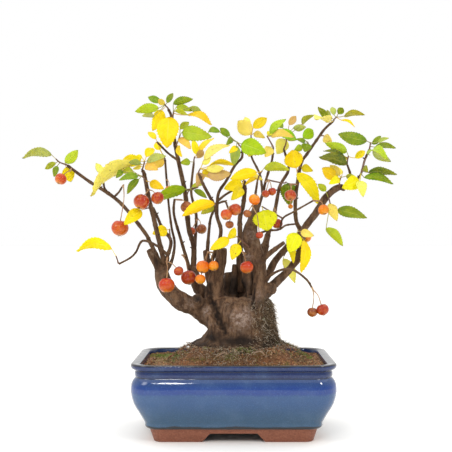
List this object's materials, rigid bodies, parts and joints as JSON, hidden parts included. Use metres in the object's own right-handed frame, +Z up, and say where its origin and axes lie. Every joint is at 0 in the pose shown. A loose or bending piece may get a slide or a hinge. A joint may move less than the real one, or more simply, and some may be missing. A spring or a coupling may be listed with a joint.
{
  "type": "crabapple bonsai",
  "caption": "Crabapple bonsai: hollow old trunk, slender shoots, yellow and green autumn leaves and red fruit, in a blue glazed rectangular pot with corner feet",
  "frame": {"origin": "middle of the whole object's footprint, on the surface that the pot stands on", "axes": "+X to the viewer's right along the pot's long side, +Y away from the viewer, +Z up"},
  "size_m": [0.5058, 0.195, 0.4656],
  "materials": {
    "glaze": "glossy blue glaze outside, bare reddish clay on the feet",
    "soil_grain": "loose reddish brown grains with moss and dead grass",
    "bark": "rough grey-brown bark, pale on old limbs",
    "screen_plastic": "black plastic mesh",
    "fruit_skin": "glossy red to orange skin",
    "leaf": "yellow to green leaf, softly glossy"
  },
  "bodies": {
    "root": {"drain_screen_left": "screen_plastic", "drain_screen_right": "screen_plastic", "fruit_arching_twig": "fruit_skin", "fruit_back_limb": "fruit_skin", "fruit_centre_stub": "fruit_skin", "fruit_elbow": "fruit_skin", "fruit_far_left": "fruit_skin", "fruit_front_stem": "fruit_skin", "fruit_hanging_twig": "fruit_skin", "fruit_inner_shoot": "fruit_skin", "fruit_left_knot": "fruit_skin", "fruit_long_stalk": "fruit_skin", "fruit_low_centre": "fruit_skin", "fruit_old_shoot": "fruit_skin", "fruit_outer_shoot": "fruit_skin", "fruit_right_limb": "fruit_skin", "fruit_straight_shoot": "fruit_skin", "fruit_summit_stem": "fruit_skin", "fruit_tall_shoot": "fruit_skin", "fruit_thin_shoot": "fruit_skin", "pot": "glaze", "soil": "soil_grain", "spray_back_left": "leaf", "spray_behind_fruit": "leaf", "spray_behind_summit": "leaf", "spray_centre_gold": "leaf", "spray_crown_left": "leaf", "spray_crown_middle": "leaf", "spray_crown_right": "leaf", "spray_cut_stub": "leaf", "spray_elbow": "leaf", "spray_far_left_tip": "leaf", "spray_front_tip": "leaf", "spray_heart_leaf": "leaf", "spray_high_right": "leaf", "spray_long_shoot_mid": "leaf", "spray_low_centre": "leaf", "spray_old_shoot_low": "leaf", "spray_old_shoot_side": "leaf", "spray_old_shoot_tip": "leaf", "spray_outer_low": "leaf", "spray_outer_tip": "leaf", "spray_right_far": "leaf", "spray_right_hanging": "leaf", "spray_right_inner": "leaf", "spray_right_lower": "leaf", "spray_right_upper": "leaf", "spray_slim_tip": "leaf", "spray_spade_leaf": "leaf", "spray_summit_left": "leaf", "spray_summit_right": "leaf", "spray_tall_low": "leaf", "spray_thin_shoot_tip": "leaf", "spray_trailing_twig": "leaf", "spray_under_limb": "leaf", "spray_wet_top": "leaf", "spray_woody_limb": "leaf", "wood": "bark"}
  },
  "joints": []
}
